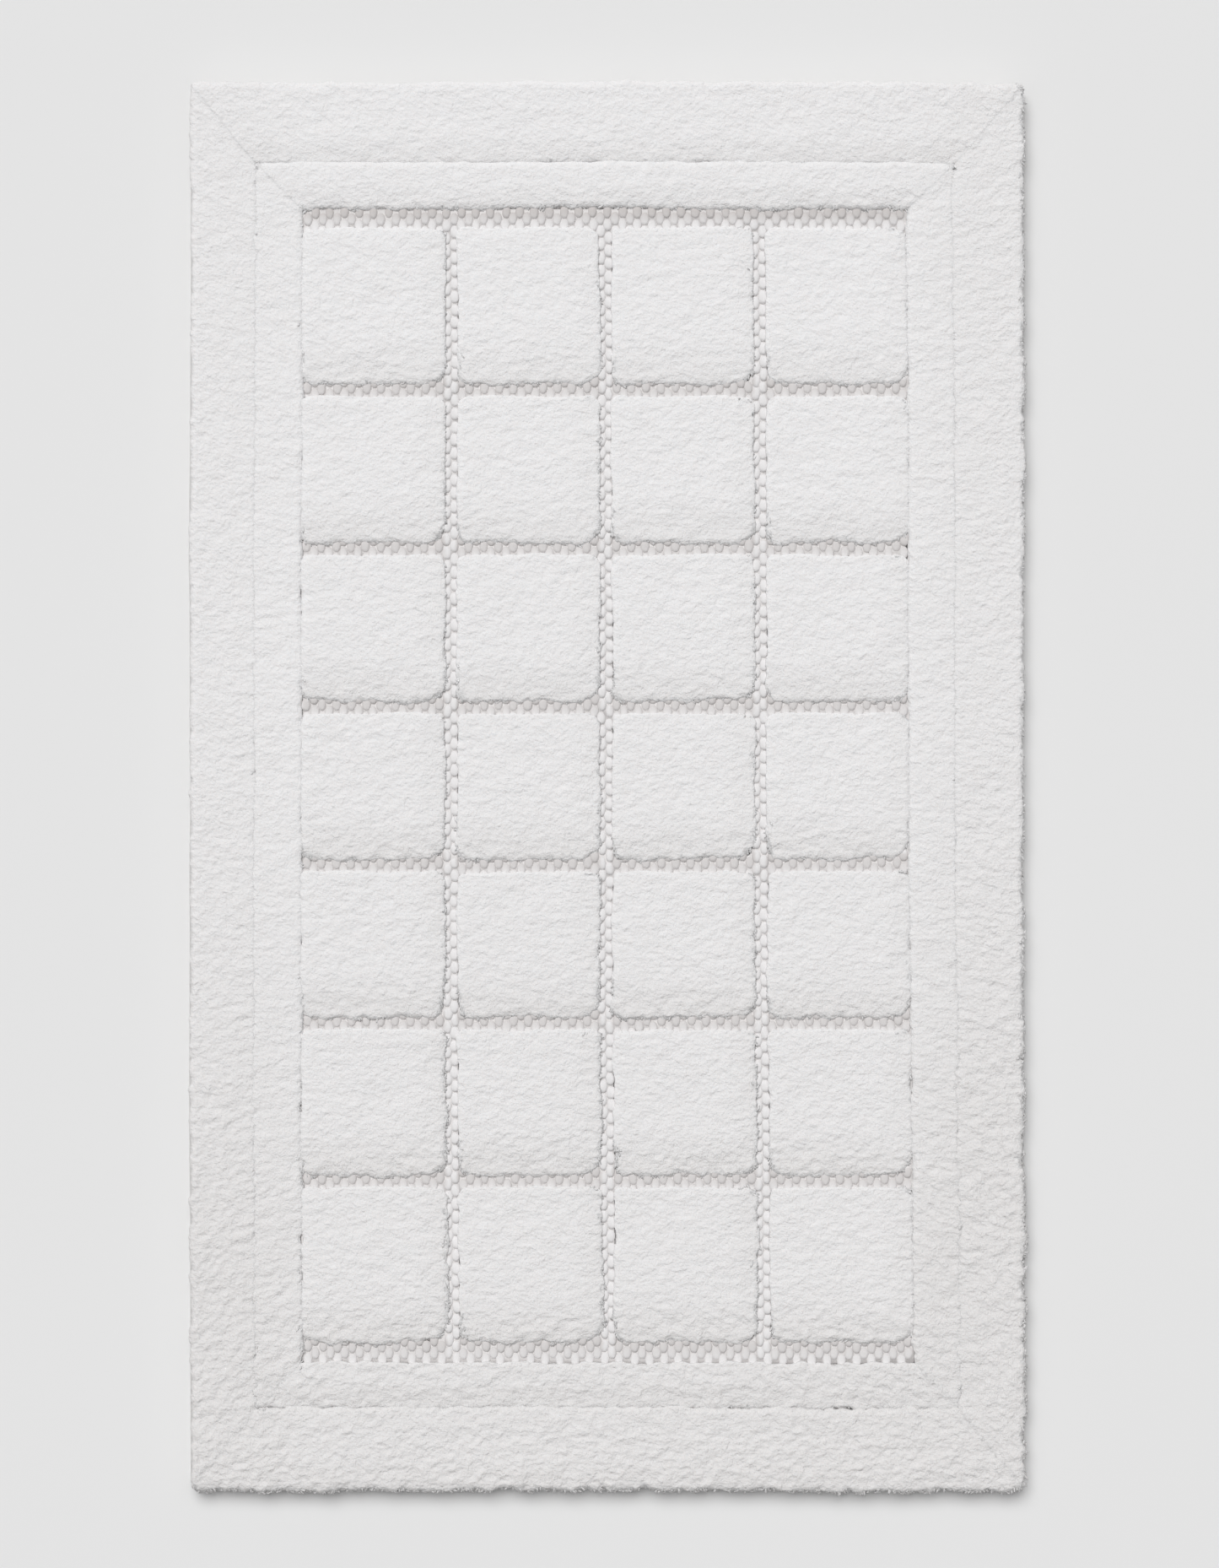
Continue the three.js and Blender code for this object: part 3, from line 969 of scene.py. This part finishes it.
def loop_shade(places):
    """How far each place is in under the frayed foot edge of a block or of the inner band: the
    strength of the painted shadow there.
    """
    x, y = places.T
    shade = BAND_SHADE * (1 - ease(field_high.y - y, *BAND_SHADE_OVER))
    for name in block_names:
        low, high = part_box(name)
        below = low.y - y
        near = (x > low.x - 1 * MM) & (x < high.x + 1 * MM) & (below > -4 * MM)
        shade = np.maximum(shade, near * (1 - ease(below, *BLOCK_SHADE_OVER)))
    return shade


def make_loops():
    """The bed with a loop at every place. Each vertex keeps how sunk and how shaded it is, for the
    painted shade and the painted shadow in the colour.
    """
    places = loop_places()
    pillow_points, pillow_faces = make_pillow()
    rng = np.random.default_rng(7)
    count = len(places)
    size = LOOP * (1 + rng.normal(0, SIZE_SPREAD, (count, 3)))
    turn = rng.normal(0, TURN_SPREAD, count)
    c, s = np.cos(turn)[:, None], np.sin(turn)[:, None]
    x, y, z = (pillow_points[None, :, k] * size[:, None, k] for k in range(3))
    middle = places + rng.normal(0, PLACE_SPREAD, (count, 2))
    top = field_high.z + TOP_ABOVE_CAD + rng.normal(0, TOP_SPREAD, count)
    copies = np.stack(
        [
            middle[:, 0, None] + c * x - s * y,
            middle[:, 1, None] + s * x + c * y,
            (top - size[:, 2])[:, None] + z - TILT * y,
        ],
        -1,
    )
    mesh = add_copies(make_bed(bpy.data.meshes.new("loop_pile")), copies, pillow_faces)
    # Each loop is painted in more shade towards its bottom, and the bed in full shade.
    creased = np.clip(1 - pillow_points[:, 2], 0, 1) ** 1.5
    on_bed = len(mesh.vertices) - count * len(creased)
    kept = {
        "sunk": (np.ones(on_bed), np.tile(creased, count)),
        # A painted shadow where a loop is in under a frayed edge.
        "shade": (np.zeros(on_bed), loop_shade(copies[..., :2].reshape(-1, 2))),
    }
    for name, values in kept.items():
        attribute = mesh.attributes.new(name, "FLOAT", "POINT")
        attribute.data.foreach_set("value", np.concatenate(values).astype(np.float32))
    return finish_mesh(mesh, "loop_pile", loops, ["loop_pile_lattice"]), count


loop_piece, loop_count = make_loops()
print("loops", loop_count, "polygons", len(loop_piece.data.polygons))

# %% [markdown]
# ## Ground cloth
#
# Every yarn goes through one woven sheet. It lies flat, is lifted a little at the rim by its own
# turned edge, and shows only at the bottom of the partings and underneath. A grid is solidified,
# and the vertices of its lower face are lifted over the hems.

# %% Sizes of the cloth
cloth_low, cloth_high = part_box("ground_cloth")
strip_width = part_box("hem_right")[1].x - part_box("hem_right")[0].x
STRIP_TOP = 1.3 * MM  # the turned strip and the cloth meet here
CLOTH_UNDER = 0.5 * MM  # underside of the cloth away from the hems
CLOTH_CELLS = (120, 200)
RAMP = (-3 * MM, 5 * MM)  # it drops over this stretch at the inner edge of the turned strip


# %% Cloth
def make_cloth():
    bm = new_grid(CLOTH_CELLS)[0]
    half = np.array([cloth_high.x, cloth_high.y])
    bmesh.ops.scale(bm, verts=bm.verts, vec=(*half, 1))
    bmesh.ops.translate(bm, verts=bm.verts, vec=(0, 0, pile_base))
    bmesh.ops.solidify(bm, geom=list(bm.faces), thickness=pile_base - CLOTH_UNDER)
    bmesh.ops.recalc_face_normals(bm, faces=bm.faces)
    top = max(v.co.z for v in bm.verts)
    for vertex in bm.verts:
        from_edge = min(half[0] - abs(vertex.co.x), half[1] - abs(vertex.co.y))
        lift = 1 - float(ease(from_edge - strip_width, *RAMP))
        if vertex.co.z < top - 0.1 * MM:
            vertex.co.z = CLOTH_UNDER + lift * (STRIP_TOP - CLOTH_UNDER)
    return finish_piece(bm, "ground_cloth_sheet", woven, ["ground_cloth"])


cloth = make_cloth()
print("cloth vertices", len(cloth.data.vertices))

# %% [markdown]
# ## Hems
#
# The edge of the cloth is rolled over a soft fold and turned under. Its section is a round roll
# with a flat strip running inwards below. A long grid is bent into that section, so the roll
# gets as many points as its curve needs, and the two long edges of the grid are merged. The four
# sides meet in mitres, and the corners are rounded like the pile's.

# %% Hem section
ROLL = 1.5 * MM  # radius of the rolled edge
ROLL_STEPS = 12
STRIP_UNDER = 0.35 * MM  # the strip lies this far above the floor, so its stitches are clear
ROLL_OUT = np.array([1.5, 0.9]) * MM  # how far the roll stands out of its CAD box, sides and ends
HEM_SHIFT = np.array([-0.8, 0.3]) * MM  # it shows most at the left and at the head
HEM_STEP = 3.0 * MM
HEM_WAVE = 0.25 * MM
LEVEL = 4 * MM  # from this depth inwards the strip is flat
BEND = 2.6 * MM  # a point between the roll and there
BEND_TOP = 2.4 * MM
STRIP_EDGE = 0.4 * MM  # the strip's raw edge is this blunt


def hem_section():
    """Depth in from the edge and height of each point round the section."""
    points = []
    for k in range(ROLL_STEPS + 1):
        angle = math.pi * (0.5 + k / ROLL_STEPS)
        points.append((ROLL + ROLL * math.cos(angle), ROLL + ROLL * math.sin(angle)))
    points += [(BEND, STRIP_UNDER / 2), (LEVEL, STRIP_UNDER)]
    inner_end = strip_width + ROLL_OUT[0]
    blunt = inner_end - STRIP_EDGE
    points += [(d, STRIP_UNDER) for d in np.linspace(LEVEL + HEM_STEP, blunt, 4)]
    points += [(inner_end, (STRIP_UNDER + STRIP_TOP) / 2), (blunt, STRIP_TOP)]
    points += [(d, STRIP_TOP) for d in np.linspace(inner_end - LEVEL, LEVEL, 3)]
    points += [(BEND, BEND_TOP), (ROLL, 2 * ROLL)]
    return np.array(points)


# %% Hems
hem_half = np.array([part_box("hem_right")[1].x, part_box("hem_head")[1].y]) + ROLL_OUT
section = hem_section()


def make_hem(side):
    """The section run along one side, and closed at both mitres."""
    across, sign = FACING[side]
    last = math.ceil(2 * hem_half[1 - across] / HEM_STEP)
    bm, columns, rows = new_grid((len(section) - 1, last))
    depth, height = section[columns].T
    plan = np.empty((len(depth), 2))
    plan[:, across] = sign * (hem_half[across] - depth)
    plan[:, 1 - across] = (2 * rows / last - 1) * (hem_half[1 - across] - depth)
    plan = rounded_corner(plan, hem_half, RIM_CORNER)[0]
    wave = HEM_WAVE * lumps(plan[:, 0], plan[:, 1], (21 * MM, 23 * MM), 51)
    plan[:, across] += sign * wave * (depth < 2 * ROLL)
    for vertex, point in zip(bm.verts, np.column_stack([plan + HEM_SHIFT, height])):
        vertex.co = point
    bmesh.ops.remove_doubles(bm, verts=bm.verts, dist=1e-6)
    for far_end in (False, True):
        rim = [
            e
            for e in bm.edges
            if e.is_boundary and (sum(v.co[1 - across] for v in e.verts) > 0) == far_end
        ]
        bmesh.ops.contextual_create(bm, geom=rim)
    bmesh.ops.recalc_face_normals(bm, faces=bm.faces)
    return finish_piece(bm, f"rolled_hem_{side}", hem_finish, [f"hem_{side}"])


hems = [make_hem(side) for side in SIDES]
print("hems", [h.name for h in hems])

# %% [markdown]
# ## Stitching
#
# A lockstitch shows as a row of short, fat dashes. One stitch is a small ball drawn out into a
# capsule, with a few dozen faces, and it is copied along each line.

# %% Stitches
STITCH = np.array([1.75, 0.42, 0.22]) * MM  # half length, half width, half height
STITCH_PITCH = 4.4 * MM


def make_stitch():
    bm = bmesh.new()
    bmesh.ops.create_uvsphere(bm, u_segments=8, v_segments=5, radius=1)
    bmesh.ops.triangulate(bm, faces=bm.faces)
    return points_and_faces(bm)


stitch_points, stitch_faces = make_stitch()


def stitch_line(start, end, height):
    """Copies of a stitch in a row from start to end."""
    start, end = np.array(start), np.array(end)
    length = np.linalg.norm(end - start)
    count = max(2, round(length / STITCH_PITCH))
    along = (end - start) / length
    side = np.array([-along[1], along[0]])
    middles = start + (np.arange(count) + 0.5)[:, None] / count * (end - start)
    shape = stitch_points * STITCH
    plan = middles[:, None] + shape[None, :, :1] * along + shape[None, :, 1:2] * side
    heights = np.broadcast_to(shape[:, 2] + height, (count, len(shape)))
    return np.concatenate([plan, heights[..., None]], 2)


def make_stitching(side):
    low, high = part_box(f"hem_stitching_{side}")
    across = FACING[side][0]
    middle = (low + high) / 2
    low[across] = high[across] = middle[across]
    copies = stitch_line(low.xy, high.xy, middle.z)
    mesh = add_copies(bpy.data.meshes.new(f"stitches_{side}"), copies, stitch_faces)
    return finish_mesh(mesh, f"stitches_{side}", thread, [f"hem_stitching_{side}"])


stitching = [make_stitching(side) for side in SIDES]
print("stitching", [s.name for s in stitching])

# %% [markdown]
# ## Care label
#
# A blank tape is sewn to the underside by its head edge. It is a thin grid with a slight wave,
# given its thickness by solidify.

# %% Care label
LABEL_THICKNESS = 0.25 * MM
LABEL_CELLS = (34, 24)
LABEL_WAVE = 0.06 * MM
LABEL_WAVE_LENGTH = 4 * MM  # for each radian of the wave
LABEL_SEAM = 2 * MM  # from the label's head edge to its stitches
label_low, label_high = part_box("care_label")


def make_label():
    size = label_high - label_low
    middle = (label_high + label_low) / 2
    bm = new_grid(LABEL_CELLS)[0]
    bmesh.ops.scale(bm, verts=bm.verts, vec=(size.x / 2, size.y / 2, 1))
    bmesh.ops.solidify(bm, geom=list(bm.faces), thickness=LABEL_THICKNESS)
    bmesh.ops.recalc_face_normals(bm, faces=bm.faces)
    bmesh.ops.translate(bm, verts=bm.verts, vec=(middle.x, middle.y, middle.z))
    for vertex in bm.verts:
        wave = math.sin((vertex.co.y - middle.y) / LABEL_WAVE_LENGTH)
        vertex.co.z += LABEL_WAVE * wave
    return finish_piece(bm, "care_label_tape", tape, ["care_label"])


def make_label_stitches():
    y = label_high.y - LABEL_SEAM
    line = stitch_line((label_low.x, y), (label_high.x, y), label_low.z + STITCH[2])
    mesh = add_copies(bpy.data.meshes.new("label_stitches"), line, stitch_faces)
    return finish_mesh(mesh, "label_stitches", thread, [])


label = make_label()
label_stitches = make_label_stitches()
print("label", label.name, label_stitches.name)

# %% Floor
FLOOR_HALF = 20  # m


def make_floor():
    bm = bmesh.new()
    bmesh.ops.create_grid(bm, x_segments=1, y_segments=1, size=FLOOR_HALF)
    mesh = bpy.data.meshes.new("floor")
    bm.to_mesh(mesh)
    bm.free()
    mesh.materials.append(ground.material)
    floor = bpy.data.objects.new("floor", mesh)
    bpy.context.scene.collection.objects.link(floor)
    return floor


print("floor", make_floor().name)
